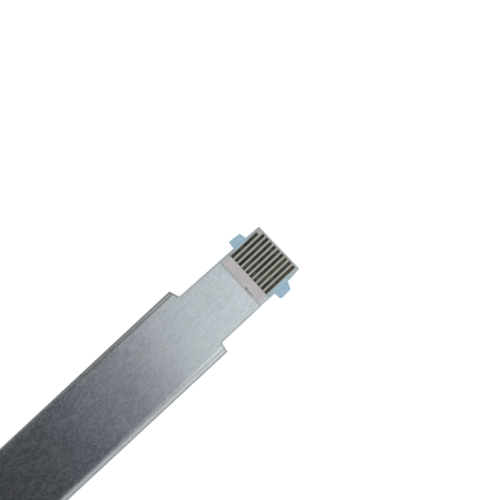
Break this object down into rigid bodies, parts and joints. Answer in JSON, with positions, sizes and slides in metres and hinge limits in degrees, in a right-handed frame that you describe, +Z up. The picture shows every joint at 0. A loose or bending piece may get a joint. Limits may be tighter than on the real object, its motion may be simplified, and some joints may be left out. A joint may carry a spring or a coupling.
{
  "type": "shielded flat flex cable",
  "caption": "Straight flat flex cable with a silver foil shield, die cut at each end to a narrow tongue with dark contact strips over a pale blue eared stiffener.",
  "frame": {"origin": "on the surface that the cable lies on, under the middle of its length and width", "axes": "+X along the cable to end A, where the first conductor ends short; +Y across it to the first conductor; +Z up from the underside, the way the contacts face"},
  "size_m": [0.08, 0.0078, 0.0004],
  "materials": {
    "shield_foil": "satin brushed foil",
    "clear_film": "clear satin polyester film",
    "tinned_contact": "dark tarnished tin over copper",
    "blue_stiffener": "satin pale blue polyester"
  },
  "bodies": {
    "root": {"conductor_1": "tinned_contact", "conductor_2": "tinned_contact", "conductor_3": "tinned_contact", "conductor_4": "tinned_contact", "conductor_5": "tinned_contact", "conductor_6": "tinned_contact", "conductor_7": "tinned_contact", "conductor_8": "tinned_contact", "conductor_9": "tinned_contact", "conductor_10": "tinned_contact", "insulation_bottom": "clear_film", "insulation_top": "clear_film", "shield_bottom": "shield_foil", "shield_top": "shield_foil", "stiffener_a": "blue_stiffener", "stiffener_b": "blue_stiffener"}
  },
  "joints": []
}
